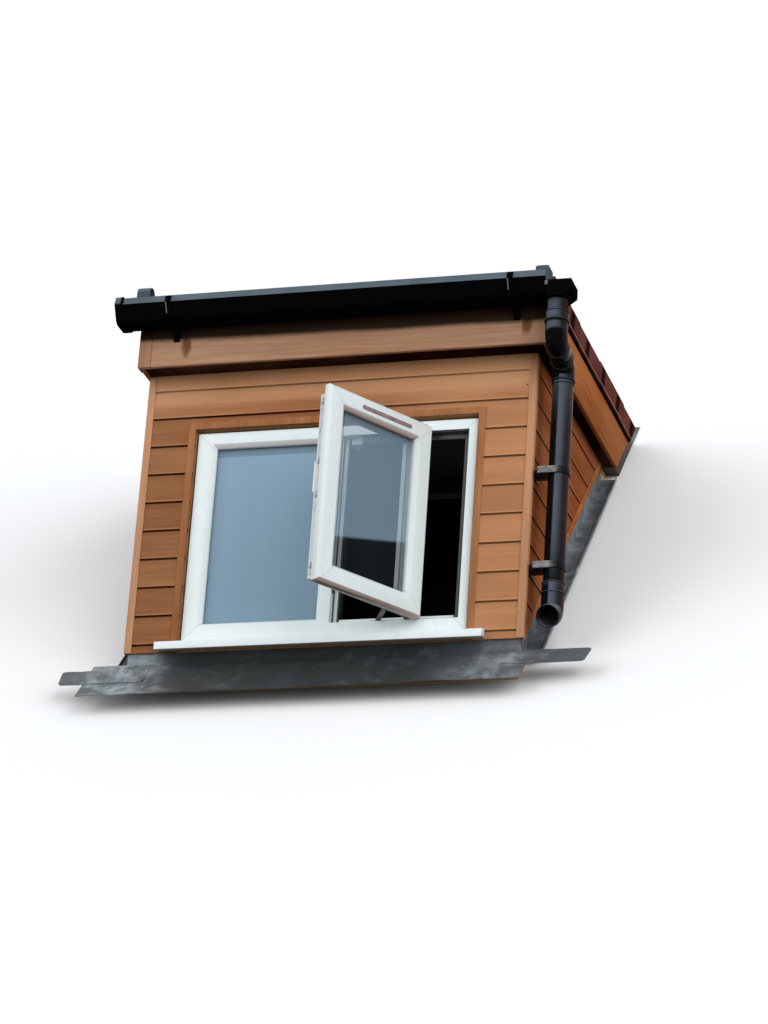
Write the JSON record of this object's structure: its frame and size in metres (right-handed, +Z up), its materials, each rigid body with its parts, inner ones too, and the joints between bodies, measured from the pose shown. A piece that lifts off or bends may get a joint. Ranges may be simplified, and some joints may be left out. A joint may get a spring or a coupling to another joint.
{
  "type": "dormer window",
  "caption": "Small flat-roofed dormer with wood-grained cladding, an open white side-hung casement, black gutter and downpipe, and lead flashings.",
  "frame": {"origin": "middle of the bevelled underside of the front sole plate, on the plane of the rafters", "axes": "+Z up, +Y into the roof, +X to the right as seen from in front"},
  "size_m": [1.753, 1.6954, 1.4965],
  "materials": {
    "oak_foil": "satin wood-grained foil",
    "white_upvc": "smooth gloss",
    "black_upvc": "smooth gloss",
    "brown_skirt": "folded gloss skirt",
    "grey_trim": "satin",
    "glass": "clear",
    "steel": "brushed",
    "handle": "white paint",
    "lead": "dull weathered sheet lead",
    "timber": "sawn",
    "lining": "dark breather sheet on board",
    "membrane": "smooth sheet"
  },
  "bodies": {
    "root": {"gutter": "black_upvc", "gutter_stop_end": "black_upvc", "gutter_brackets": "black_upvc", "gutter_outlet": "black_upvc", "upper_bend": "black_upvc", "lower_bend": "black_upvc", "downpipe": "black_upvc", "pipe_clips": "black_upvc", "pipe_shoe": "black_upvc", "kerb_caps": "black_upvc", "front_drip_trim": "black_upvc", "front_sole_plate": "timber", "left_sole_plate": "timber", "right_sole_plate": "timber", "left_cheek_wall": "timber", "right_cheek_wall": "timber", "front_wall_left": "timber", "front_wall_right": "timber", "front_wall_above": "timber", "roof_panel": "timber", "head_trimmer": "timber", "fascia_front": "oak_foil", "fascia_left": "oak_foil", "fascia_right": "oak_foil", "fascia_corner_trims": "oak_foil", "soffit": "oak_foil", "cladding_front": "oak_foil", "cladding_cheek_left": "oak_foil", "cladding_cheek_right": "oak_foil", "cheek_trims": "oak_foil", "corner_trims": "oak_foil", "window_trim": "oak_foil", "window_frame": "white_upvc", "casement_sash": "white_upvc", "window_sill": "white_upvc", "lead_apron": "lead", "lead_tails": "lead", "side_channel_left": "lead", "side_channel_right": "lead", "room_lining": "lining", "roof_membrane": "membrane", "kerb_left": "brown_skirt", "kerb_right": "brown_skirt", "vent_slot_cover": "grey_trim", "fixed_glass": "glass", "casement_glass": "glass", "lock_strip": "steel", "friction_stays": "steel", "window_handle": "handle"}
  },
  "joints": []
}
